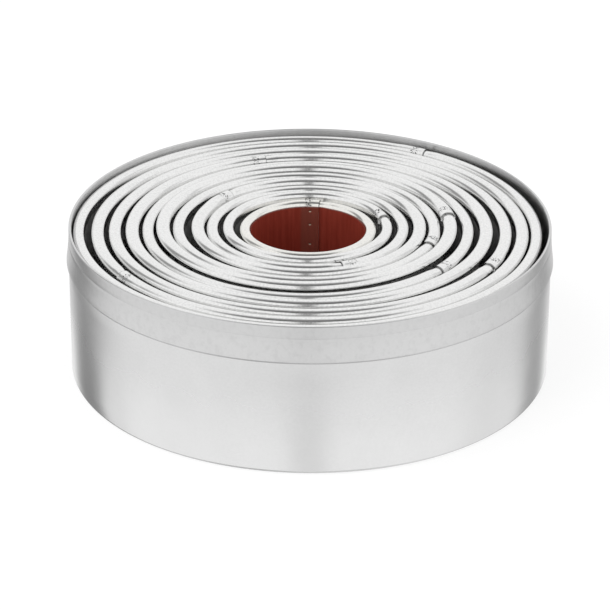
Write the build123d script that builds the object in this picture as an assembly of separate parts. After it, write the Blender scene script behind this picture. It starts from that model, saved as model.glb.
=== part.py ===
from build123d import *
import os
from math import cos, degrees, radians, sin

# Nest of plain round pastry cutters in their open round tin.
# Millimetres. +Z is up, +X is to the viewer's right and +Y points away from the viewer.
# The origin is the centre of the tin's underside, so the tin stands on Z = 0.
# The tin and every cutter are bent from tinplate: each is one sheet with one rolled or folded edge.

# The tin: one drawn shell, whose neck steps in a little and whose sheet is folded
# out over the rim and down again as a collar. The lid would slide down over that collar.
tin_height = 32.8
body_radius = 50.9
tin_sheet = 0.25
foot_round = 0.8
rim_inset = 0.1
fold_gap = 0.06
neck_depth = 8.4
neck_slope = 1.6
crease_depth = 2.6
crease_inset = 0.05
collar_depth = 7.9
collar_stand = 0.5
collar_lip = 0.7
collar_lip_tuck = 0.12

# The cutters, numbered from the smallest. Sizes are of the outside of the rolled bead,
# because that is the widest part of each cutter and what has to pass its neighbour.
smallest_bead_outside = 14.44
mouth_clearance = 0.81
rim_drop = 1.17
height_spread = 0.87
cutter_sheet = 0.25
narrowest_bead = 2.35
bead_spread = 0.55
bead_height = 2.1
curl_stop_angle = 125.0
running_gap = 0.3

# Each cutter's step up from the smallest, with the largest as 1. Hand-set stops make it uneven.
step_shares = (0, 0.0972, 0.1983, 0.2952, 0.393, 0.4927, 0.5882, 0.6931, 0.7994, 0.9028, 1)

# How much wider each bead was pressed flat than the narrowest one, as a share of bead_spread.
bead_shares = (0.05, 0.04, 0.29, 0.75, 0.36, 0.96, 0.47, 0.93, 0.58, 0.75, 0.24)

# How much taller each strip was cut than the shortest ones, as a share of height_spread.
height_shares = (0, 0.43, 0.11, 0.67, 0.31, 1, 0.02, 0.48, 0.34, 0.32, 0.36)

# Each cutter lies a little off centre in the one around it: its shift to the right and
# away from the viewer, as shares of the play that it has there.
shift_right_shares = (0.15, -0.04, -0.83, 0.92, -0.18, -0.7, -0.4, -0.36, 0.15, 0.76, -0.97)
shift_away_shares = (-0.96, -0.17, 0, -0.3, -0.35, 0.67, 0.55, 0.36, 0.36, -0.11, -0.06)

# The joint of each cutter: where its outer strip end stops, in degrees round from +X.
joint_angles = (79.2, 15.5, -69.8, 137.2, -19.6, 8.3, -37.6, 105.3, -27.2, -148.3, 57.3)

# At the joint one end of the bead is opened out into a socket, and the other end is stepped
# outwards by one sheet, so that it lies behind the first wall and inside the socket.
lap_length = 4.2
joggle_length = 3.0
taper_length = 4.0
transition_steps = 4

# Three spot welds in a column hold the two walls together, and one press mark holds the beads.
weld_setback = 1.9
weld_radius = 0.5
weld_depth = 0.1
weld_top_drop = 1.2
weld_middle_share = 0.37
weld_bottom_rise = 3.2
press_setback = 2.4
press_radius = 0.9
press_depth = 0.12

# Parts of a turn, in degrees.
eighth_turn = 45
half_turn = 180
full_turn = 360

# What follows is worked out from the sizes above.
rim_radius = body_radius - rim_inset
mouth_radius = rim_radius - 2 * tin_sheet - fold_gap
largest_bead_outside = mouth_radius - mouth_clearance
shortest_cutter = tin_height - tin_sheet - rim_drop
cutter_count = len(step_shares)


def closed_face(edges):
    """A flat face bounded by edges that are listed head to tail."""
    return Face(Wire(edges))


def section_plane(angle):
    """Upright plane through the middle line of a ring: its X points outwards, its Y points up."""
    outwards = (cos(radians(angle)), sin(radians(angle)), 0)
    backwards = (sin(radians(angle)), -cos(radians(angle)), 0)
    return Plane(origin=(0, 0, 0), x_dir=outwards, z_dir=backwards)


def tin_section():
    """Half section of the tin: floor, wall, stepped-in neck, folded rim and collar."""
    wall_outside = body_radius
    wall_inside = body_radius - tin_sheet
    neck_bottom = tin_height - neck_depth
    neck_top = neck_bottom + neck_slope
    fold_radius = tin_sheet + fold_gap / 2
    fold_height = tin_height - fold_radius
    fold_middle = rim_radius - fold_radius
    neck_outside = mouth_radius + tin_sheet
    crease_radius = body_radius - crease_inset
    crease_height = tin_height - crease_depth
    lip_height = tin_height - collar_depth
    lip_start = lip_height + collar_lip
    flare_radius = body_radius + collar_stand
    lip_radius = flare_radius - collar_lip_tuck
    round_middle = body_radius - foot_round
    inner_round = foot_round - tin_sheet
    diagonal = cos(radians(eighth_turn))

    outside = [
        Line((0, 0), (round_middle, 0)),
        ThreePointArc(
            (round_middle, 0),
            (round_middle + foot_round * diagonal, foot_round - foot_round * diagonal),
            (wall_outside, foot_round),
        ),
        Line((wall_outside, foot_round), (wall_outside, neck_bottom)),
        Line((wall_outside, neck_bottom), (neck_outside, neck_top)),
        Line((neck_outside, neck_top), (neck_outside, fold_height)),
    ]
    fold_inside = [
        ThreePointArc(
            (neck_outside, fold_height),
            (fold_middle, fold_height + fold_gap / 2),
            (rim_radius - tin_sheet, fold_height),
        ),
        Line((rim_radius - tin_sheet, fold_height), (crease_radius - tin_sheet, crease_height)),
        Line((crease_radius - tin_sheet, crease_height), (flare_radius - tin_sheet, lip_start)),
        Line((flare_radius - tin_sheet, lip_start), (lip_radius - tin_sheet, lip_height)),
        Line((lip_radius - tin_sheet, lip_height), (lip_radius, lip_height)),
    ]
    collar_outside = [
        Line((lip_radius, lip_height), (flare_radius, lip_start)),
        Line((flare_radius, lip_start), (crease_radius, crease_height)),
        Line((crease_radius, crease_height), (rim_radius, fold_height)),
        ThreePointArc(
            (rim_radius, fold_height),
            (fold_middle, tin_height),
            (mouth_radius, fold_height),
        ),
    ]
    inside = [
        Line((mouth_radius, fold_height), (mouth_radius, neck_top)),
        Line((mouth_radius, neck_top), (wall_inside, neck_bottom)),
        Line((wall_inside, neck_bottom), (wall_inside, foot_round)),
        ThreePointArc(
            (wall_inside, foot_round),
            (round_middle + inner_round * diagonal, foot_round - inner_round * diagonal),
            (round_middle, tin_sheet),
        ),
        Line((round_middle, tin_sheet), (0, tin_sheet)),
        Line((0, tin_sheet), (0, 0)),
    ]
    return closed_face(outside + fold_inside + collar_outside + inside)


def make_tin():
    """The whole tin is the half section turned once round the vertical axis."""
    return revolve(section_plane(0) * tin_section(), Axis.Z)


def strip_section(wall_inside, wall_thickness, half_width, half_height, curl_sheet, height_of_curl):
    """Section of a bent strip: an upright wall that curls outwards and down into an oval bead."""
    wall_outside = wall_inside + wall_thickness
    middle = (wall_inside + half_width, height_of_curl)
    sweep = half_turn + curl_stop_angle
    outer = EllipticalCenterArc(middle, half_width, half_height, -curl_stop_angle, arc_size=sweep)
    inner = EllipticalCenterArc(
        middle, half_width - curl_sheet, half_height - curl_sheet, -curl_stop_angle, arc_size=sweep
    )
    inner_start = inner @ 0
    inner_end = (wall_outside, height_of_curl)
    outer_start = outer @ 0
    outer_end = (wall_inside, height_of_curl)
    return closed_face(
        [
            Line((wall_inside, 0), (wall_outside, 0)),
            Line((wall_outside, 0), inner_end),
            inner,
            Line(inner_start, outer_start),
            outer,
            Line(outer_end, (wall_inside, 0)),
        ]
    )


class Cutter:
    """The sizes and the place of one cutter, number 0 being the smallest."""

    def __init__(self, number):
        step = step_shares[number]
        self.name = f"cutter_{number + 1:02d}"
        self.bead = narrowest_bead + bead_spread * bead_shares[number]
        self.outside = smallest_bead_outside + (largest_bead_outside - smallest_bead_outside) * step
        self.inside = self.outside - self.bead
        self.height = shortest_cutter + height_spread * height_shares[number]
        self.curl_height = self.height - bead_height / 2
        self.joint = joint_angles[number]

    def sweep_angle(self, length):
        """The angle that a length takes up round this cutter's wall, in degrees."""
        return degrees(length / (self.inside + cutter_sheet))

    def plain_section(self, shift=0.0):
        """The strip as rolled. A shift steps it outwards, as at the end that goes in the socket."""
        return strip_section(
            self.inside + shift,
            cutter_sheet,
            self.bead / 2,
            bead_height / 2,
            cutter_sheet,
            self.curl_height,
        )

    def socket_section(self, growth, sheets=1):
        """The end that is opened out: the same wall, with the curl wider by growth all round."""
        thickness = sheets * cutter_sheet
        return strip_section(
            self.inside,
            thickness,
            self.bead / 2 + growth,
            bead_height / 2 + growth,
            thickness,
            self.curl_height,
        )


def turned(section, angle):
    """A section stood upright in the plane at that angle round the vertical axis."""
    return section_plane(angle) * section


def ruled_run(sections_and_angles):
    """Straight runs from section to section, short enough to follow the ring's curve."""
    return loft([turned(section, angle) for section, angle in sections_and_angles], ruled=True)


def make_cutter(cutter):
    """One strip: joggled end, lapped joint, opened end tapering back, and the long plain run."""
    joint_start = cutter.joint
    joint_end = joint_start + cutter.sweep_angle(lap_length)
    taper_end = joint_end + cutter.sweep_angle(taper_length)
    joggle_start = joint_start - cutter.sweep_angle(joggle_length)
    plain_sweep = full_turn - (taper_end - joggle_start)

    plain = revolve(turned(cutter.plain_section(), taper_end), Axis.Z, plain_sweep)
    lap_section = turned(cutter.socket_section(cutter_sheet, sheets=2), joint_start)
    lap = revolve(lap_section, Axis.Z, joint_end - joint_start)
    steps = [step / transition_steps for step in range(transition_steps + 1)]
    joggle = ruled_run(
        [
            (
                cutter.plain_section(cutter_sheet * step),
                joggle_start + (joint_start - joggle_start) * step,
            )
            for step in steps
        ]
    )
    taper = ruled_run(
        [
            (
                cutter.socket_section(cutter_sheet * (1 - step)),
                joint_end + (taper_end - joint_end) * step,
            )
            for step in steps
        ]
    )
    return plain.fuse(joggle, lap, taper)


def mark_joint(body, cutter):
    """Sinks the spot welds into the inner wall and the press mark into the top of the bead."""
    weld_angle = cutter.joint + cutter.sweep_angle(weld_setback)
    weld_top = cutter.curl_height - weld_top_drop
    weld_middle = weld_bottom_rise + (weld_top - weld_bottom_rise) * (1 - weld_middle_share)
    weld_reach = cutter.inside - weld_radius + weld_depth
    press_angle = cutter.joint + cutter.sweep_angle(press_setback)
    press_height = cutter.height + cutter_sheet + press_radius - press_depth
    press_middle = cutter.inside + cutter.bead / 2 + cutter_sheet
    weld_plane = section_plane(weld_angle)
    dents = [
        weld_plane * Pos(weld_reach, height, 0) * Sphere(weld_radius)
        for height in (weld_top, weld_middle, weld_bottom_rise)
    ]
    dents.append(section_plane(press_angle) * Pos(press_middle, press_height, 0) * Sphere(press_radius))
    return body.cut(*dents)


def nest_centres(cutters):
    """Where each cutter stands, worked inwards from the tin: each shifts inside the one around it."""
    centres = [None] * cutter_count
    holder_inside = mouth_radius
    right = 0.0
    away = 0.0
    for number in reversed(range(cutter_count)):
        play = holder_inside - cutters[number].outside - running_gap
        right += play * shift_right_shares[number]
        away += play * shift_away_shares[number]
        centres[number] = (right, away)
        holder_inside = cutters[number].inside
    return centres


os.makedirs("parts", exist_ok=True)
export_step(make_tin(), "parts/tin_body.step")

cutters = [Cutter(number) for number in range(cutter_count)]
centres = nest_centres(cutters)
for cutter, (right, away) in zip(cutters, centres):
    body = mark_joint(make_cutter(cutter), cutter)
    stood = Pos(right, away, tin_sheet) * body
    export_step(stood, f"parts/{cutter.name}.step")
    wall = 2 * (cutter.inside + cutter_sheet)
    print(f"{cutter.name}: wall {wall:.1f} across, {cutter.height:.1f} tall, at {right:.2f}, {away:.2f}")
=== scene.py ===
# %% [markdown]
# # A nest of round biscuit cutters in their tin
#
# Eleven plain round cutters stand one inside the other in a shallow open tin. Every piece is
# tinplate, which is thin steel sheet with a skin of tin, so this lesson is about two things: how to
# model bent sheet metal so that its edges tell how it was folded, and how to light bright metal,
# which has almost no colour of its own and shows whatever stands around it.
#
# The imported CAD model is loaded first. It is the frame that says how large the object is.

from math import atan2, cos, hypot, pi, radians, sin, tau

import bpy
from mathutils import Matrix, Vector


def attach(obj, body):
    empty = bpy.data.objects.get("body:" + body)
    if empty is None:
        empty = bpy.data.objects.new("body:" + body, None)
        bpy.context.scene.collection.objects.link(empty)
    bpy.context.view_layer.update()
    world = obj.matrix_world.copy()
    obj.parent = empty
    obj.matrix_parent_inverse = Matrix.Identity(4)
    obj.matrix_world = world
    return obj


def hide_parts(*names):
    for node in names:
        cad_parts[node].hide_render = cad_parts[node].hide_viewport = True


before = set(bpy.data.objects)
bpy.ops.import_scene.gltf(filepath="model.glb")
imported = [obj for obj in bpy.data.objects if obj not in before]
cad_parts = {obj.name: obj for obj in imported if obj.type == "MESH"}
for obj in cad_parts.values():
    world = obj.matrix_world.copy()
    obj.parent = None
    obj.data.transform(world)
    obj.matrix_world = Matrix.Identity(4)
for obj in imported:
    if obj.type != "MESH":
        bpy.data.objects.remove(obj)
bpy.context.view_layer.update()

# %% [markdown]
# ## The sizes that drive everything
#
# The sizes are written in millimetres, as a tinsmith would, and one function turns them into
# Blender's metres. The tin and the sheet come first. Then come the cutters: the smallest and the
# largest are given, and the rest are shares of the way between them, because a set like this steps
# up almost evenly.


# %% Units and the driving sizes
def mm(length):
    """Millimetres to Blender's metres."""
    return length / 1000


tin_height = 32.8
body_radius = 50.9
tin_sheet = 0.25
foot_round = 0.8
rim_inset = 0.1
fold_gap = 0.06
neck_depth = 8.4
neck_slope = 1.6
crease_depth = 2.6
crease_inset = 0.05
collar_depth = 7.9
collar_stand = 0.5
collar_lip = 0.45

smallest_bead_outside = 14.44
mouth_clearance = 0.81
rim_drop = 1.17
height_spread = 0.87
cutter_sheet = 0.25
narrowest_bead = 2.35
bead_spread = 0.55
bead_height = 2.1
running_gap = 0.3
lap_length = 4.2
joggle_length = 3.0
taper_length = 4.0

rim_radius = body_radius - rim_inset
mouth_radius = rim_radius - 2 * tin_sheet - fold_gap
largest_bead_outside = mouth_radius - mouth_clearance
shortest_cutter = tin_height - tin_sheet - rim_drop
print("mouth radius:", round(mouth_radius, 2), "mm")

# %% [markdown]
# ## Where each cutter stands
#
# The cutters are loose, so each has slid a little to one side in the next one. That is what makes
# the dark gaps wide on one side and almost nothing on the other, and it is the first thing the eye
# notices from above. Each shift is a share of the play that the cutter has, so no two can collide.
# The joint of each cutter, where its strip's two ends lap, points its own way. The shares come from
# fitting the beads and the gaps between them to the photograph, and part.py has the same ones.

# %% Shares for each cutter, the smallest first
step_shares = (0, 0.0972, 0.1983, 0.2952, 0.393, 0.4927, 0.5882, 0.6931, 0.7994, 0.9028, 1)
bead_shares = (0.05, 0.04, 0.29, 0.75, 0.36, 0.96, 0.47, 0.93, 0.58, 0.75, 0.24)
height_shares = (0, 0.43, 0.11, 0.67, 0.31, 1, 0.02, 0.48, 0.34, 0.32, 0.36)
shift_right_shares = (0.15, -0.04, -0.83, 0.92, -0.18, -0.7, -0.4, -0.36, 0.15, 0.76, -0.97)
shift_away_shares = (-0.96, -0.17, 0, -0.3, -0.35, 0.67, 0.55, 0.36, 0.36, -0.11, -0.06)
joint_angles = (79.2, 15.5, -69.8, 137.2, -19.6, 8.3, -37.6, 105.3, -27.2, -148.3, 57.3)


class Cutter:
    """The sizes of one cutter in millimetres, number 0 being the smallest."""

    def __init__(self, number):
        step = step_shares[number]
        self.number = number
        self.node = f"cutter_{number + 1:02d}"
        self.bead = narrowest_bead + bead_spread * bead_shares[number]
        self.outside = smallest_bead_outside + (largest_bead_outside - smallest_bead_outside) * step
        self.inside = self.outside - self.bead
        self.height = shortest_cutter + height_spread * height_shares[number]
        self.curl_height = self.height - bead_height / 2
        self.joint = radians(joint_angles[number])
        self.wall_middle = self.inside + cutter_sheet / 2
        self.curl_middle = self.inside + self.bead / 2
        self.centre = Vector((0, 0, 0))

    def sweep(self, length):
        """The angle that a length takes up round this cutter's wall."""
        return length / (self.inside + cutter_sheet)


cutters = [Cutter(number) for number in range(len(step_shares))]
holder_inside = mouth_radius
place = Vector((0, 0, tin_sheet))
for cutter in reversed(cutters):
    play = holder_inside - cutter.outside - running_gap
    place.x += play * shift_right_shares[cutter.number]
    place.y += play * shift_away_shares[cutter.number]
    cutter.centre = place.copy()
    holder_inside = cutter.inside
for cutter in cutters:
    print(cutter.node, "outside", round(cutter.outside, 2), "at", [round(v, 2) for v in cutter.centre])

# %% [markdown]
# ## The camera
#
# The photograph was taken from a little above, through a long lens, so the far side of the rim is
# almost as wide as the near side. The distance and the angles were found by matching the rim, the
# collar and the beads. A camera looks along its own -Z axis with +Y up, so its matrix is built from
# three directions: right, up and backwards.

# %% Camera
picture_width = 610
focal_length_in_pixels = 3105.4
film_width = 36
camera_distance = mm(661.8)
aim_height = mm(15.09)
camera_elevation = radians(25.66)
camera_yaw = radians(0.084)
camera_pitch = radians(-0.154)
camera_roll = radians(-0.358)

forward = Vector((0, cos(camera_elevation), -sin(camera_elevation)))
right = Vector((1, 0, 0))
up = right.cross(forward)
turn = (
    Matrix.Rotation(camera_yaw, 3, up)
    @ Matrix.Rotation(camera_pitch, 3, right)
    @ Matrix.Rotation(camera_roll, 3, forward)
)
camera_place = Vector((0, 0, aim_height)) - forward * camera_distance
axes = Matrix((turn @ right, turn @ up, turn @ -forward)).transposed()

camera = bpy.data.objects.new("camera", bpy.data.cameras.new("camera"))
camera.data.sensor_width = film_width
camera.data.lens = focal_length_in_pixels * film_width / picture_width
camera.matrix_world = Matrix.Translation(camera_place) @ axes.to_4x4()
bpy.context.scene.collection.objects.link(camera)
bpy.context.scene.camera = camera
print("lens:", round(camera.data.lens, 1), "mm")

# %% [markdown]
# ## Helpers for modelling
#
# Blender's modelling operators act on what is selected, so every step starts from a clean
# selection. Three small functions cover what both pieces need: starting afresh, picking points by
# where they lie, and finishing a surface into a wall of sheet metal.


# %% Modelling helpers
def start_afresh():
    """Leaves edit mode and deselects everything."""
    if bpy.context.object and bpy.context.object.mode == "EDIT":
        bpy.ops.object.mode_set(mode="OBJECT")
    bpy.ops.object.select_all(action="DESELECT")


def select_points(piece, wanted):
    """Selects the points of a mesh whose coordinates pass a test, and goes back to edit mode."""
    bpy.ops.mesh.select_all(action="DESELECT")
    bpy.ops.object.mode_set(mode="OBJECT")
    for point in piece.data.vertices:
        point.select = wanted(point.co)
    bpy.ops.object.mode_set(mode="EDIT")


def give_thickness(piece, thickness, sharp_angle=radians(35)):
    """Turns the surface halfway through a sheet into the sheet, and smooths all but its raw edges."""
    wall = piece.modifiers.new("sheet thickness", "SOLIDIFY")
    wall.thickness = thickness
    wall.offset = 0
    wall.use_even_offset = True
    bpy.ops.object.modifier_apply(modifier=wall.name)
    bpy.ops.object.shade_smooth_by_angle(angle=sharp_angle)


def settle_in_mesh(piece):
    """Puts a piece's place and turn into its mesh, so that its object sits at the origin."""
    bpy.ops.object.transform_apply(location=True, rotation=True, scale=True)
    print(piece.name, len(piece.data.polygons), "faces")


def smooth_step(share):
    """Rises gently from 0 to 1 as a share goes from 0 to 1."""
    share = min(max(share, 0), 1)
    return share * share * (3 - 2 * share)


# %% [markdown]
# ## The tin
#
# A tin like this is usually pressed from one disc: the press draws the wall up, steps the neck in, and
# then turns the edge out over the rim and down again as a collar, so no sharp edge is left where the
# fingers go. The lid slides over that collar. It could be modelled as two cylinders with a torus on
# top, but the light runs over the fold without a break, so it is made the way the press makes it:
# one rim of points is drawn out ring by ring, up, in, over and down.
#
# Each ring is an extrusion of the last one, scaled to its new radius and moved to its new height.


# %% The outline that the press draws
def arc(middle_radius, middle_height, size, start, end, steps):
    """Points along a round stretch of the outline, as (radius, height), without its first point."""
    turns = [start + (end - start) * step / steps for step in range(1, steps + 1)]
    return [(middle_radius + size * cos(angle), middle_height + size * sin(angle)) for angle in turns]


half_sheet = tin_sheet / 2
foot_size = foot_round - half_sheet
wall_line = body_radius - half_sheet
neck_line = mouth_radius + half_sheet
fold_size = (tin_sheet + fold_gap) / 2
fold_height = tin_height - half_sheet - fold_size
fold_line = rim_radius - half_sheet - fold_size
neck_bottom = tin_height - neck_depth
neck_top = neck_bottom + neck_slope
crease_line = body_radius - crease_inset - half_sheet
crease_height = tin_height - crease_depth
crease_half = 0.12
crease_sink = 0.03
lip_line = body_radius + collar_stand - half_sheet
lip_height = tin_height - collar_depth
lip_top = lip_height + collar_lip
wall_rows = 9
collar_rows = 6
collar_swell = 1.3

tin_outline = arc(body_radius - foot_round, half_sheet + foot_size, foot_size, -pi / 2, 0, 6)
for row in range(1, wall_rows + 1):
    tin_outline.append((wall_line, foot_round + (neck_bottom - foot_round) * row / wall_rows))
tin_outline += [(neck_line, neck_top), (neck_line, (neck_top + fold_height) / 2), (neck_line, fold_height)]
tin_outline += arc(fold_line, fold_height, fold_size, pi, 0, 8)
for row in range(1, 3):
    share = row / 3
    radius = fold_line + fold_size + (crease_line - fold_line - fold_size) * share
    tin_outline.append((radius, fold_height + (crease_height + crease_half - fold_height) * share))
tin_outline += [
    (crease_line, crease_height + crease_half),
    (crease_line - crease_sink, crease_height),
    (crease_line + crease_sink, crease_height - crease_half),
]
for row in range(1, collar_rows + 1):
    share = row / collar_rows
    # The collar swells more and more towards its lip, so it is a little hollow seen from the side.
    radius = crease_line + crease_sink + (lip_line - crease_line - crease_sink) * share**collar_swell
    height = crease_height - crease_half + (lip_top - crease_height + crease_half) * share
    tin_outline.append((radius, height))
# The raw edge is rolled in until it almost touches the wall.
lip_roll = 0.35
lip_roll_stop = radians(-50)
lip_tuck = 0.26
tin_outline += arc(lip_line - lip_roll, lip_top, lip_roll, 0, lip_roll_stop, 4)
tin_outline.append((lip_line - lip_tuck, lip_height))
print("tin outline:", len(tin_outline), "rings")

# %% [markdown]
# The rings are drawn out from the floor's edge. At the end the floor itself is closed by pulling
# its edge in to a point, so that the faces meet in the middle without a hole.

# %% Draw the tin
round_steps = 288
floor_radius = body_radius - foot_round

start_afresh()
bpy.ops.mesh.primitive_circle_add(
    vertices=round_steps, radius=mm(floor_radius), fill_type="NOTHING", location=(0, 0, mm(half_sheet))
)
tin = bpy.context.object
tin.name = "tin_shell"
bpy.ops.object.transform_apply(location=True, rotation=True, scale=True)
bpy.ops.object.mode_set(mode="EDIT")
bpy.ops.mesh.select_all(action="SELECT")
last_radius = floor_radius
last_height = half_sheet
for radius, height in tin_outline:
    grow = radius / last_radius
    bpy.ops.mesh.extrude_region_move(TRANSFORM_OT_translate={"value": (0, 0, mm(height - last_height))})
    bpy.ops.transform.resize(value=(grow, grow, 1), center_override=(0, 0, 0))
    last_radius = radius
    last_height = height

inner_ring_radius = floor_radius / 4
shrink = inner_ring_radius / floor_radius
select_points(tin, lambda co: abs(co.z - mm(half_sheet)) < mm(0.001))
bpy.ops.mesh.extrude_region_move(TRANSFORM_OT_translate={"value": (0, 0, 0)})
bpy.ops.transform.resize(value=(shrink, shrink, 1), center_override=(0, 0, 0))
bpy.ops.mesh.extrude_region_move(TRANSFORM_OT_translate={"value": (0, 0, 0)})
bpy.ops.mesh.merge(type="CENTER")
bpy.ops.mesh.select_all(action="SELECT")
bpy.ops.mesh.normals_make_consistent(inside=False)
bpy.ops.object.mode_set(mode="OBJECT")
print("tin surface:", len(tin.data.vertices), "points")

# %% [markdown]
# No pressed tin is perfectly round. A dent nobody would see as a dent still bends the reflections,
# and a perfectly round tin looks like plastic. So every point is moved by a few hundredths of a
# millimetre, in waves that run round the tin and fade out at the floor and at the rim.
# The size of the waves is a guess.

# %% Let the wall wander a little
wander = 0.035
highest_wave = 2
for point in tin.data.vertices:
    angle = atan2(point.co.y, point.co.x)
    climb = point.co.z / mm(tin_height)
    wave = sin(3 * angle + 0.6) + 0.6 * sin(7 * angle + 2.1 + 3 * climb) + 0.4 * sin(11 * angle - 5 * climb)
    # From the neck up it goes inwards only, because the collar is the widest part of the tin.
    if point.co.z > mm(neck_bottom + 0.1):
        wave = (wave - highest_wave) / 2
    fade = sin(pi * min(climb, 0.98))
    share = mm(wander) * wave * fade / max(hypot(point.co.x, point.co.y), mm(1))
    point.co.x += point.co.x * share
    point.co.y += point.co.y * share
give_thickness(tin, mm(tin_sheet))
settle_in_mesh(tin)
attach(tin, "tin")
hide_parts("tin_body")

# %% [markdown]
# ## A cutter
#
# A cutter starts as a flat strip. One long edge is rolled into a bead, which keeps it stiff and
# spares the hand that presses down on it, and the other edge stays raw, to cut. Then the strip is
# bent round until its ends lap, and the lap is spot welded.
#
# The section of the strip is drawn first: a circle, squeezed to the oval that the rolls leave, with
# the part that the curl doesn't reach taken away, and the wall drawn straight down from it.

# %% The section of a strip
curl_points = 48
curl_step = tau / curl_points
curl_stop = radians(127.5)
weld_setback = 1.9
weld_radius = 0.5
weld_depth = 0.09
# How far each weld lies below the middle of the bead. The photograph shows the top three. The two
# lowest lie too deep to be seen and are guessed.
weld_drops = (25.5, 16.5, 8.6, 4.0, 0.9)


def weld_heights(cutter):
    """Heights of the spot welds in the lap, lowest first, set by how far each lies below the bead."""
    return [cutter.curl_height - drop for drop in weld_drops]


def wall_levels(cutter):
    """Heights at which the wall gets a row of points, downwards: close together round each weld."""
    levels = {0.0}
    for weld in weld_heights(cutter):
        for share in (-1.3, -0.8, -0.4, 0, 0.4, 0.8, 1.3):
            levels.add(weld + share * weld_radius)
    plain_rows = 8
    for row in range(1, plain_rows):
        level = cutter.curl_height * row / plain_rows
        if min(abs(level - other) for other in levels) > weld_radius:
            levels.add(level)
    return sorted(levels, reverse=True)


def draw_section(cutter):
    """Draws the strip's section in the upright plane through X, at the surface halfway through it."""
    start_afresh()
    bpy.ops.mesh.primitive_circle_add(vertices=curl_points, radius=1, rotation=(pi / 2, 0, 0))
    strip = bpy.context.object
    strip.name = cutter.node + "_strip"
    strip.scale = (
        mm(cutter.bead - cutter_sheet) / 2,
        mm(bead_height - cutter_sheet) / 2,
        1,
    )
    strip.location = (mm(cutter.curl_middle), 0, mm(cutter.curl_height))
    bpy.ops.object.transform_apply(location=True, rotation=True, scale=True)

    middle = Vector((mm(cutter.curl_middle), 0, mm(cutter.curl_height)))
    flatness = (cutter.bead - cutter_sheet) / (bead_height - cutter_sheet)

    def beyond_the_curl(co):
        turned = atan2((co.z - middle.z) * flatness, co.x - middle.x)
        return -pi + curl_step / 2 < turned < -curl_stop - curl_step / 2

    bpy.ops.object.mode_set(mode="EDIT")
    select_points(strip, beyond_the_curl)
    bpy.ops.mesh.delete(type="VERT")
    wall = mm(cutter.wall_middle)
    select_points(strip, lambda co: abs(co.x - wall) < mm(0.001))
    height = cutter.curl_height
    for level in wall_levels(cutter):
        bpy.ops.mesh.extrude_region_move(TRANSFORM_OT_translate={"value": (0, 0, mm(level - height))})
        height = level
    return strip


# %% [markdown]
# The section is then spun round the upright axis, a little further than a full turn, so that the
# two ends lap. The steps are close together at the ends, where there is work to do, and further
# apart along the plain run.

# %% Bend the strip round
fine_step = 0.28
plain_step = 1.1
fewest_plain_steps = 120


def bend_round(strip, cutter):
    """Spins the section a full turn and a lap, and returns each column's place along the strip."""
    round_length = tau * (cutter.inside + cutter_sheet)
    opened = lap_length + taper_length
    stepped = joggle_length + lap_length
    plain = round_length + lap_length - opened - stepped
    runs = (
        (opened, round(opened / fine_step)),
        (plain, max(fewest_plain_steps, round(plain / plain_step))),
        (stepped, round(stepped / fine_step)),
    )
    bpy.ops.mesh.select_all(action="SELECT")
    places = [0.0]
    for length, steps in runs:
        bpy.ops.mesh.spin(steps=steps, angle=cutter.sweep(length), center=(0, 0, 0), axis=(0, 0, -1))
        start = places[-1]
        places += [start + length * step / steps for step in range(1, steps + 1)]
    bpy.ops.object.mode_set(mode="OBJECT")
    return places


# %% [markdown]
# Now the ends are fitted to each other. The first end is opened out a little into a socket. The
# other end is stepped outwards by one sheet, so that it lies behind the first wall, and its curl is
# squeezed until it slips into the socket. Opening the socket by a whole sheet would do too, but
# then it stands out as a lump, and in the photograph the joint is almost flush. The amounts change
# from column to column, so they are worked out by a formula.
#
# The marks of the work go in here too: the dents of the spot welds, which show inside the smallest
# cutter, and a shallow hollow on top of the bead just past the joint.

# %% Fit the ends
socket_growth = 0.09
tab_slack = 0.03
mouth_flare = 0.03
mouth_length = 0.6
press_setback = 2.4
press_radius = 0.7
press_depth = 0.24


def dent(distance, radius):
    """How deep a round dent is at some distance from its middle, as a share of its depth."""
    return 0 if distance >= radius else (1 - (distance / radius) ** 2) ** 2


def fit_ends(strip, cutter, places):
    """Opens the socket, steps the tab, and sinks the welds and the press mark."""
    points_in_section = len(strip.data.vertices) // len(places)
    total = places[-1]
    round_length = total - lap_length
    curl_half_width = (cutter.bead - cutter_sheet) / 2
    curl_half_height = (bead_height - cutter_sheet) / 2
    welds = weld_heights(cutter)
    sign = -1 if strip.data.vertices[points_in_section].co.y < 0 else 1

    for index, point in enumerate(strip.data.vertices):
        place = places[index // points_in_section]
        angle = sign * cutter.sweep(place)
        radius = hypot(point.co.x, point.co.y) * 1000
        height = point.co.z * 1000
        from_tip = total - place
        opened = smooth_step((lap_length + taper_length - place) / taper_length)
        stepped = smooth_step((lap_length + joggle_length - from_tip) / joggle_length)
        if radius > cutter.wall_middle + 0.001:
            flare = mouth_flare * max(0, 1 - place / mouth_length) ** 2
            squeeze = cutter_sheet + tab_slack - socket_growth
            growth = opened * socket_growth + flare - stepped * squeeze
            radius = cutter.wall_middle + (radius - cutter.wall_middle) * (1 + growth / curl_half_width)
            height += (height - cutter.curl_height) * growth / curl_half_height
        radius += stepped * (cutter_sheet + tab_slack / 2)

        past_edge = place if place < round_length / 2 else place - round_length
        for weld in welds:
            reach = hypot(past_edge - weld_setback, height - weld)
            radius += weld_depth * dent(reach, weld_radius)
        if height > cutter.curl_height:
            pressed = cutter.curl_middle + socket_growth
            reach = hypot(past_edge - press_setback, radius - pressed)
            height -= press_depth * dent(reach, press_radius)
        point.co = (mm(radius) * cos(angle), mm(radius) * sin(angle), mm(height))
    return sign


# %% [markdown]
# A bent strip isn't a true circle either. Each cutter gets its own slow
# waves in and out and up and down, so small that it still drops into the next one.

# %% Make every cutter
out_of_round = 0.05
out_of_level = 0.03


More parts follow.
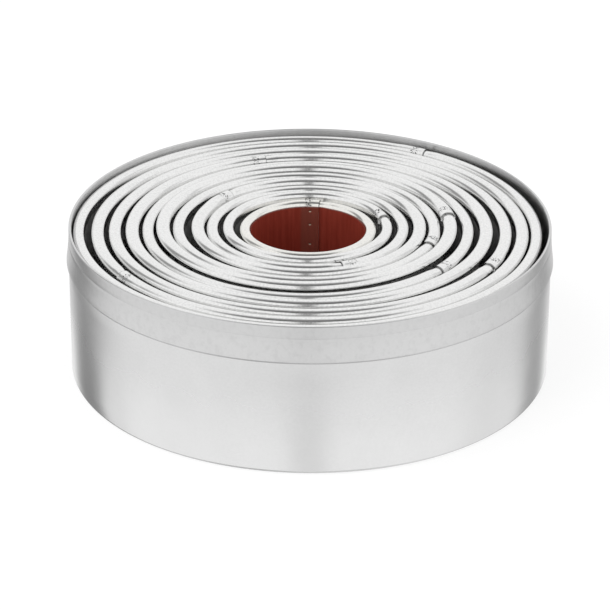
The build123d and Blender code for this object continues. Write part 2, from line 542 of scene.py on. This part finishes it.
def let_wander(strip, cutter):
    """Pushes the ring slightly out of round and out of level."""
    phase = 1.7 * cutter.number
    for point in strip.data.vertices:
        angle = atan2(point.co.y, point.co.x)
        wave = sin(2 * angle + phase) + 0.5 * sin(5 * angle + 2 * phase) + 0.3 * sin(9 * angle - phase)
        share = mm(out_of_round) * wave / hypot(point.co.x, point.co.y)
        point.co.x += point.co.x * share
        point.co.y += point.co.y * share
        climb = point.co.z / mm(cutter.height)
        point.co.z += mm(out_of_level) * climb * sin(3 * angle - phase)


strips = []
for cutter in cutters:
    strip = draw_section(cutter)
    places = bend_round(strip, cutter)
    sign = fit_ends(strip, cutter, places)
    let_wander(strip, cutter)
    bpy.ops.object.mode_set(mode="EDIT")
    bpy.ops.mesh.select_all(action="SELECT")
    bpy.ops.mesh.normals_make_consistent(inside=False)
    bpy.ops.object.mode_set(mode="OBJECT")
    give_thickness(strip, mm(cutter_sheet))
    strip.rotation_euler.z = cutter.joint
    strip.location = [mm(value) for value in cutter.centre]
    settle_in_mesh(strip)
    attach(strip, cutter.node)
    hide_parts(cutter.node)
    strips.append(strip)
print("spin went", "forwards" if sign > 0 else "backwards")

# %% [markdown]
# ## Materials
#
# Colours are written as they look on a screen, in hex, and one function turns them into the linear
# values that the shader works with. Another small function adds a node with its settings and its
# links, so a material reads as a list of what feeds what.


# %% Helpers for materials
def colour(hex_code):
    """A screen colour such as C8C9CA as linear red, green, blue and alpha."""
    channels = [int(hex_code[start : start + 2], 16) / 255 for start in (0, 2, 4)]
    linear = [c / 12.92 if c <= 0.04045 else ((c + 0.055) / 1.055) ** 2.4 for c in channels]
    return (*linear, 1)


def add(tree, kind, inputs=(), **settings):
    """Adds a node, sets what it is given, and links or fills its inputs by name or number."""
    node = tree.nodes.new(kind)
    for name, value in settings.items():
        setattr(node, name, value)
    for name, value in dict(inputs).items():
        if isinstance(value, bpy.types.NodeSocket):
            tree.links.new(value, node.inputs[name])
        else:
            node.inputs[name].default_value = value
    return node


def new_material(name):
    """An empty material with an output, and its node tree."""
    material = bpy.data.materials.new(name)
    material.use_nodes = True
    material.node_tree.nodes.clear()
    return material, material.node_tree


# %% [markdown]
# Both finishes need to know where a point lies round a ring: how far out, how far round and how
# high. Marks on sheet that was rolled and then bent run round the ring, so a pattern is stretched
# along that way.


# %% Round coordinates
def round_coordinates(tree, centre):
    """Sockets for the distance from a ring's axis, the angle round it and the height, in metres."""
    spot = add(tree, "ShaderNodeTexCoord").outputs["Object"]
    shift = (-mm(centre.x), -mm(centre.y), 0)
    centred = add(tree, "ShaderNodeMapping", {"Vector": spot, "Location": shift}).outputs[0]
    parts = add(tree, "ShaderNodeSeparateXYZ", {0: centred})
    flat = add(tree, "ShaderNodeCombineXYZ", {0: parts.outputs[0], 1: parts.outputs[1]}).outputs[0]
    out = add(tree, "ShaderNodeVectorMath", {0: flat}, operation="LENGTH").outputs["Value"]
    around = add(
        tree, "ShaderNodeMath", {0: parts.outputs[1], 1: parts.outputs[0]}, operation="ARCTAN2"
    ).outputs[0]
    return spot, out, around, parts.outputs[2]


def streaks(tree, out, around, height, grain, stretch, detail=3):
    """Noise of a given grain in metres across the sheet, drawn out along the way round."""
    slow = add(tree, "ShaderNodeMath", {0: around, 1: 0.05 / stretch}, operation="MULTIPLY").outputs[0]
    where = add(tree, "ShaderNodeCombineXYZ", {0: out, 1: slow, 2: height}).outputs[0]
    return add(
        tree, "ShaderNodeTexNoise", {"Vector": where, "Scale": 1 / grain, "Detail": detail, "Roughness": 0.6}
    ).outputs[0]


# %% [markdown]
# Every finish below is built from the same few moves: a value that rises between two heights or two
# angles, two such values multiplied, and a number or a colour that goes from one to another by the
# result. Each move has a short name, so a finish can be read almost like a sentence.


# %% Ramps and mixes
def rise(tree, value, start, end):
    """Goes gently from 0 to 1 as a value goes from start to end."""
    settings = {"Value": value, "From Min": start, "From Max": end}
    return add(tree, "ShaderNodeMapRange", settings, interpolation_type="SMOOTHSTEP").outputs[0]


def times(tree, first, second):
    """One value times another."""
    return add(tree, "ShaderNodeMath", {0: first, 1: second}, operation="MULTIPLY").outputs[0]


def plus(tree, first, second):
    """One value plus another."""
    return add(tree, "ShaderNodeMath", {0: first, 1: second}, operation="ADD").outputs[0]


def blended(tree, share, first, second):
    """A number that is the first at share 0 and the second at share 1."""
    return add(tree, "ShaderNodeMix", {"Factor": share, 2: first, 3: second}, data_type="FLOAT").outputs[0]


def tinted(tree, share, first, second):
    """A colour that is the first at share 0 and the second at share 1."""
    return add(tree, "ShaderNodeMix", {"Factor": share, 6: first, 7: second}, data_type="RGBA").outputs[2]


def noise(tree, where, grain, detail, roughness):
    """Noise of a given grain in metres."""
    settings = {"Vector": where, "Scale": 1 / grain, "Detail": detail, "Roughness": roughness}
    return add(tree, "ShaderNodeTexNoise", settings).outputs[0]


# %% [markdown]
# ### The red-brown inner wall
#
# The smallest cutter's inner wall is red-brown in the photograph, with a pale spot at each weld. It
# is taken to be lacquer. A point gets it when it lies below the bead and its face looks inwards. The
# wall is a quarter of a millimetre thick, so the way the face looks tells inside from outside more
# surely than the distance from the middle does.

# %% Lacquer inside the smallest cutter
lacquer_light = colour("B04E3E")
lacquer_dark = colour("9C3E30")
greyer_lap_lacquer = colour("8E5A4C")
greyer_lap_share = 0.6
lacquer_roughness = 0.35
lacquer_metallic = 0.4
streak_width = mm(0.8)
streak_stretch = 0.06
# The pale spot at each weld: bare metal, with a painted highlight of its dent.
bare_metal_and_highlight = colour("EADFCB")
bare_spot_radius = mm(0.24)
# A dark red-brown for painted shade: the line beside the lap's edge and the crescent over each weld.
painted_shade_brown = colour("2A1210")
edge_shade_share = 0.2


def faces_inwards(tree, around):
    """1 where the surface looks towards the axis of the ring."""
    facing = add(tree, "ShaderNodeNewGeometry").outputs["Normal"]
    along_x = add(tree, "ShaderNodeMath", {0: around}, operation="COSINE").outputs[0]
    along_y = add(tree, "ShaderNodeMath", {0: around}, operation="SINE").outputs[0]
    outwards = add(tree, "ShaderNodeCombineXYZ", {0: along_x, 1: along_y}).outputs[0]
    turned_out = add(
        tree, "ShaderNodeVectorMath", {0: facing, 1: outwards}, operation="DOT_PRODUCT"
    ).outputs["Value"]
    return rise(tree, turned_out, -0.3, -0.6)


def lacquer_colour(tree, cutter, around, along, height):
    """Red-brown with upright streaks, duller over the lap, and a thin line of painted shade along its edge.
    """
    slow = times(tree, height, streak_stretch)
    where = add(tree, "ShaderNodeCombineXYZ", {0: along, 1: slow}).outputs[0]
    thin = rise(tree, noise(tree, where, streak_width, 4, 0.65), 0.3, 0.72)
    red = tinted(tree, thin, lacquer_dark, lacquer_light)
    lap_start = cutter.joint
    lap_end = cutter.joint + cutter.sweep(lap_length)
    over_lap = times(
        tree,
        rise(tree, around, lap_start - 0.004, lap_start + 0.004),
        rise(tree, around, lap_end + 0.01, lap_end - 0.06),
    )
    # The lacquer over the lap is greyer.
    red = tinted(tree, times(tree, over_lap, greyer_lap_share), red, greyer_lap_lacquer)
    # The dark line beside the lap's edge is painted shade, the shadow of that edge.
    shade_beside_edge = times(
        tree,
        rise(tree, around, lap_start + 0.004, lap_start - 0.004),
        rise(tree, around, lap_start - 0.05, lap_start - 0.01),
    )
    return tinted(tree, times(tree, shade_beside_edge, edge_shade_share), red, painted_shade_brown)


def lacquer_over(tree, cutter, around, height, skin, roughness):
    """Lays the lacquer on the inner face below the bead: returns the skin, roughness and metallic."""
    edge = mm(tin_sheet + cutter.curl_height)
    below = rise(tree, height, edge + mm(0.3), edge - mm(0.1))
    laid = times(tree, below, faces_inwards(tree, around))
    along = times(tree, around, mm(cutter.inside))
    skin = tinted(tree, laid, skin, lacquer_colour(tree, cutter, around, along, height))
    weld_way = cutter.joint + cutter.sweep(weld_setback)
    aside = plus(tree, along, -weld_way * mm(cutter.inside))
    for weld in weld_heights(cutter):
        above = plus(tree, height, -mm(tin_sheet + weld))
        offset = add(tree, "ShaderNodeCombineXYZ", {0: aside, 1: above}).outputs[0]
        away = add(tree, "ShaderNodeVectorMath", {0: offset}, operation="LENGTH").outputs["Value"]
        bare = times(tree, rise(tree, away, bare_spot_radius * 1.25, bare_spot_radius * 0.75), laid)
        # Each pale spot is bare metal with a painted highlight of the weld's dent, and has a thin crescent
        # of painted shade over it.
        crescent = rise(tree, above, mm(-0.02), mm(0.06))
        skin = tinted(tree, bare, skin, tinted(tree, crescent, bare_metal_and_highlight, painted_shade_brown))
    roughness = blended(tree, laid, roughness, lacquer_roughness)
    metallic = blended(tree, laid, 1, lacquer_metallic)
    return skin, roughness, metallic


print("pale spots in the lacquer:", len(weld_drops))

# %% [markdown]
# ### The marks beside each joint
#
# In the photograph the strip's end is a dark line across the bead, with a patch of small dark marks just
# past it. The line is drawn as raw cut steel with painted shade of the step where the ends lap. What made
# the marks can't be told, so they are drawn as random blots of painted shade.

# %% Marks beside the joint
cut_steel_and_end_shade = colour("585858")
end_shade_share = 0.55
blot_shade = colour("505050")
blot_size = mm(0.3)


def marks_over(tree, cutter, spot, around, height, skin):
    """Paints the strip's end dark, as raw steel with painted shade, and blots of painted shade on top of the
    bead, and returns the new skin.
    """
    along = times(tree, plus(tree, around, -cutter.joint), mm(cutter.curl_middle))
    distance = add(tree, "ShaderNodeMath", {0: along}, operation="ABSOLUTE").outputs[0]
    on_top = rise(tree, height, mm(tin_sheet + cutter.curl_height - 0.3), mm(tin_sheet + cutter.curl_height))
    # The end line is raw cut steel with painted shade of the step at the lap.
    end_line = times(tree, rise(tree, distance, mm(0.16), mm(0.05)), on_top)
    skin = tinted(tree, times(tree, end_line, end_shade_share), skin, cut_steel_and_end_shade)
    patch = times(
        tree,
        rise(tree, along, mm(press_setback - 1), mm(press_setback - 0.7)),
        rise(tree, along, mm(press_setback + 1), mm(press_setback + 0.7)),
    )
    patch = times(tree, patch, on_top)
    # The blots are painted shade.
    blots = rise(tree, noise(tree, spot, blot_size, 1, 0.5), 0.54, 0.6)
    return tinted(tree, times(tree, patch, blots), skin, blot_shade)


print("blots are", round(blot_size * 1000, 2), "mm wide")

# %% [markdown]
# ### Bright tinplate
#
# The cutters are bright tinplate: steel that was cold rolled, dipped in or plated with tin, and
# melted over, which leaves it shiny but not a mirror. Up close the tin has a mottle of small
# crystals, each a little lighter or darker than the next, and faint rolling lines along the strip.
# Metallic is 1, as for any bare metal, and the roughness is low.
#
# Just under a bead the photograph shows the wall lighter than a straight one would be, as if it
# leaned out a little. The lean is a guess, and the running gap has no room for it, so it is given to
# the shading alone.

# %% Bright tinplate
crystal_size = mm(0.45)
line_spacing = mm(0.12)
bright_light = colour("F0F0EF")
bright_dark = colour("D6D6D6")
# The smallest cutter's bead looks a shade creamier than the others.
creamy_light = colour("F1EFE8")
mottle_share = 0.5
light_share = 0.7
bright_roughness = 0.13
wall_roughness = 0.55
line_bump_depth = mm(0.012)
line_bump_strength = 0.25
lean_above = mm(0.3)
lean_below = mm(1.1)
lean_depth = mm(0.3)
lacquered_lean_depth = mm(0.01)


def bright_tinplate(cutter):
    """Bright tinplate for one cutter, its rolling lines centred on that cutter."""
    material, tree = new_material(f"bright_tinplate_rolled_{cutter.number + 1:02d}")
    lacquered = cutter.number == 0
    spot, out, around, height = round_coordinates(tree, cutter.centre)
    lines = streaks(tree, out, around, height, line_spacing, stretch=2.2)
    mottle = rise(tree, noise(tree, spot, crystal_size, 2, 0.55), 0.35, 0.62)
    blend = add(tree, "ShaderNodeMath", {0: mottle, 1: mottle_share, 2: lines}, operation="MULTIPLY_ADD")
    lightness = times(tree, blend.outputs[0], light_share)
    skin = tinted(tree, lightness, bright_dark, creamy_light if lacquered else bright_light)
    bead_roughness = add(
        tree,
        "ShaderNodeMapRange",
        {"Value": lines, "To Min": bright_roughness - 0.04, "To Max": bright_roughness + 0.07},
    ).outputs[0]
    under_bead = mm(tin_sheet + cutter.height - bead_height)
    on_wall = rise(tree, height, under_bead + mm(0.2), under_bead - mm(0.4))
    roughness = blended(tree, on_wall, bead_roughness, wall_roughness)
    skin = marks_over(tree, cutter, spot, around, height, skin)
    metallic = 1
    if lacquered:
        skin, roughness, metallic = lacquer_over(tree, cutter, around, height, skin, roughness)
    middle = mm(tin_sheet + cutter.curl_height)
    lean = rise(tree, height, middle + lean_above, middle - lean_below)
    depth = lacquered_lean_depth if lacquered else lean_depth
    leaning = add(tree, "ShaderNodeBump", {"Height": lean, "Strength": 1, "Distance": depth}).outputs[0]
    line_bump = {"Height": lines, "Strength": line_bump_strength, "Distance": line_bump_depth}
    bump = add(tree, "ShaderNodeBump", {**line_bump, "Normal": leaning}).outputs[0]
    metal = add(
        tree,
        "ShaderNodeBsdfPrincipled",
        {"Base Color": skin, "Metallic": metallic, "Roughness": roughness, "Normal": bump},
    )
    add(tree, "ShaderNodeOutputMaterial", {"Surface": metal.outputs[0]})
    return material


for cutter, strip in zip(cutters, strips):
    strip.data.materials.clear()
    strip.data.materials.append(bright_tinplate(cutter))
    print(strip.name, "is", strip.data.materials[0].name)

# %% [markdown]
# ### Satin tinplate
#
# The tin has the same skin but a duller one. Its collar has fine marks that run round it, and the wall below
# is plain and smoother towards the foot, where its colour is also painted lighter: a painted reflection of
# the bright table. The values were found by comparing the tones of the render with those of the photograph.

# %% Tin material
satin_light = colour("E4E4E4")
satin_dark = colour("CDCDCD")
lighter_foot_tone = colour("F4F4F4")
turned_skin = colour("C4C4C4")
lighter_foot_share = 0.3
turned_share_low = 0.27
turned_share_high = 0.5
ring_share = 0.4
satin_roughness = 0.32
foot_smoother = -0.12
inner_roughness = 0.36
mark_bump_depth = mm(0.02)
mark_bump_strength = 0.35


def satin_tinplate():
    """Satin tinplate for the tin, with turning marks on the collar."""
    material, tree = new_material("satin_tinplate_drawn")
    spot, out, around, height = round_coordinates(tree, Vector((0, 0, 0)))
    turned_marks = streaks(tree, out, around, height, mm(0.5), stretch=1.2)
    clouds = noise(tree, spot, mm(9), 3, 0.5)
    blend = blended(tree, 0.5, turned_marks, clouds)
    low = rise(tree, height, mm(neck_bottom), 0)
    skin = tinted(tree, blend, satin_dark, satin_light)
    # Painted reflection: the wall's colour is painted lighter towards the foot.
    skin = tinted(tree, times(tree, low, lighter_foot_share), skin, lighter_foot_tone)
    on_collar = rise(tree, height, mm(lip_height - 0.1), mm(lip_height + 0.1))
    # The collar's turning marks are darker towards the rim.
    towards_rim = rise(tree, height, mm(lip_height + 2), mm(tin_height))
    turned_share = blended(tree, towards_rim, turned_share_low, turned_share_high)
    skin = tinted(tree, times(tree, on_collar, turned_share), skin, turned_skin)
    soft_rings = streaks(tree, out, around, height, mm(1.3), stretch=0.9, detail=4)
    dull_rings = times(tree, times(tree, on_collar, rise(tree, soft_rings, 0.45, 0.7)), ring_share)
    skin = tinted(tree, dull_rings, skin, turned_skin)
    within = rise(tree, out, mm(mouth_radius + 0.35), mm(mouth_radius + 0.15))
    cloudy = add(
        tree,
        "ShaderNodeMapRange",
        {"Value": clouds, "To Min": satin_roughness - 0.04, "To Max": satin_roughness + 0.04},
    ).outputs[0]
    # The wall is a little smoother towards the foot.
    roughness = plus(tree, times(tree, low, foot_smoother), cloudy)
    roughness = blended(tree, within, roughness, inner_roughness)
    turned = times(tree, on_collar, turned_marks)
    mark_bump = {"Height": turned, "Strength": mark_bump_strength, "Distance": mark_bump_depth}
    bump = add(tree, "ShaderNodeBump", mark_bump).outputs[0]
    metal = add(
        tree,
        "ShaderNodeBsdfPrincipled",
        {"Base Color": skin, "Metallic": 1, "Roughness": roughness, "Normal": bump},
    )
    add(tree, "ShaderNodeOutputMaterial", {"Surface": metal.outputs[0]})
    return material


tin.data.materials.clear()
tin.data.materials.append(satin_tinplate())
print("tin is", tin.data.materials[0].name)

# %% [markdown]
# ## The studio
#
# Bright metal is lit by surrounding it with white and leaving a few dark places, because the dark
# places are what draws its shape. Here the white is the world itself, like a tent of cloth round
# the table, and the dark places are gaps in it and a dim roof. How the real studio looked isn't
# known: each gap was placed and dimmed until the tin's tones came close to the photograph's. The
# camera itself sees plain white wherever it looks past the tin.

# %% The white tent
tent_level = 1.05
roof_start = 0.86
roof_end = 0.955
roof_level_near = 0.07
roof_level_far = 0.4
under_start = -0.7
under_end = -0.95
under_level = 0.4
# Each gap: the way it lies in degrees round from +X, half its width, where it starts and ends in
# height as sines of the elevation, and how bright it is.
tent_gaps = (
    (-91, 0.075, 0.12, 0.97, 0.3),
    (137, 0.26, -1.4, -0.06, 0.29),
    (163, 0.14, -1.4, 0.1, 0.93),
    (150, 0.2, -0.06, 0.72, 0.34),
    (46, 0.25, -1.4, 0.02, 0.42),
    (20, 0.14, -0.3, 0.6, 0.8),
    (12, 0.3, -1.4, -0.1, 0.93),
    (-90, 0.12, -1.4, -0.1, 0.87),
)
# The edge of a gap is soft: across, from this much to that much of its half width, and upwards.
soft_outside = 1.6
soft_inside = 0.4
soft_height = 0.1

world = bpy.data.worlds.new("white tent")
bpy.context.scene.world = world
world.use_nodes = True
tent = world.node_tree
tent.nodes.clear()
look = add(tent, "ShaderNodeTexCoord").outputs["Generated"]
look_parts = add(tent, "ShaderNodeSeparateXYZ", {0: look})
height_of_look = look_parts.outputs[2]
far_side = rise(tent, look_parts.outputs[1], -0.35, 0.35)
roof_level = blended(tent, far_side, roof_level_near, roof_level_far)
level = blended(tent, rise(tent, height_of_look, roof_start, roof_end), tent_level, roof_level)
level = blended(tent, rise(tent, height_of_look, under_start, under_end), level, under_level)
for way, half_width, bottom, top, gap_level in tent_gaps:
    angle = radians(way)
    aside = add(
        tent, "ShaderNodeVectorMath", {0: look, 1: (-sin(angle), cos(angle), 0)}, operation="DOT_PRODUCT"
    ).outputs["Value"]
    off = add(tent, "ShaderNodeMath", {0: aside}, operation="ABSOLUTE").outputs[0]
    ahead = add(
        tent, "ShaderNodeVectorMath", {0: look, 1: (cos(angle), sin(angle), 0)}, operation="DOT_PRODUCT"
    ).outputs["Value"]
    across = rise(tent, off, half_width * soft_outside, half_width * soft_inside)
    in_gap = times(tent, across, rise(tent, ahead, 0, 0.1))
    in_gap = times(tent, in_gap, rise(tent, height_of_look, bottom - soft_height, bottom + soft_height))
    in_gap = times(tent, in_gap, rise(tent, height_of_look, top + soft_height, top - soft_height))
    level = blended(tent, in_gap, level, gap_level)

seen = add(tent, "ShaderNodeLightPath").outputs["Is Camera Ray"]
tent_light = add(tent, "ShaderNodeBackground", {"Strength": level})
plain_white = add(tent, "ShaderNodeBackground", {"Strength": 1})
mixed = add(tent, "ShaderNodeMixShader", {0: seen, 1: tent_light.outputs[0], 2: plain_white.outputs[0]})
for background in (tent_light, plain_white):
    background.inputs["Color"].default_value = (1, 1, 1, 1)
add(tent, "ShaderNodeOutputWorld", {"Surface": mixed.outputs[0]})
print("gaps in the tent:", len(tent_gaps))

# %% [markdown]
# The table is a large pale sheet. Most of its brightness is its own, so that it stays white in the
# picture, and the rest is the light that falls on it, so that the tin still leaves a soft shadow.
# The metal doesn't mirror the sheet: the lower half of the tent stands for the bright table there.

# %% The table
table_size = 8
table_colour = (0.35, 0.35, 0.35, 1)
table_glow = 0.7

start_afresh()
bpy.ops.mesh.primitive_plane_add(size=table_size, location=(0, 0, -mm(0.05)))
table_top = bpy.context.object
table_top.name = "table_sheet"
table_top.visible_glossy = False
pale_sheet, tree = new_material("pale_table_sheet")
lit = add(tree, "ShaderNodeBsdfDiffuse", {"Color": table_colour})
path = add(tree, "ShaderNodeLightPath")
own_level = times(tree, path.outputs["Is Camera Ray"], table_glow)
glow = add(tree, "ShaderNodeEmission", {"Color": (1, 1, 1, 1), "Strength": own_level})
both = add(tree, "ShaderNodeAddShader", {0: lit.outputs[0], 1: glow.outputs[0]})
add(tree, "ShaderNodeOutputMaterial", {"Surface": both.outputs[0]})
table_top.data.materials.append(pale_sheet)

# %% [markdown]
# One soft lamp above and to the left gives the shadow its direction. It doesn't show in the metal.

# %% The soft lamp
lamp = bpy.data.objects.new("soft_lamp", bpy.data.lights.new("soft_lamp", "AREA"))
lamp.data.size = 1.2
lamp.data.energy = 8
lamp.location = (-0.8, -0.6, 1.5)
lamp.rotation_euler = (Vector((0, 0, 0)) - lamp.location).to_track_quat("-Z", "Y").to_euler()
lamp.visible_glossy = False
bpy.context.scene.collection.objects.link(lamp)

# %% [markdown]
# The colours are shown as they are, with no film look on top.

# %% Finish
bpy.context.scene.view_settings.view_transform = "Standard"
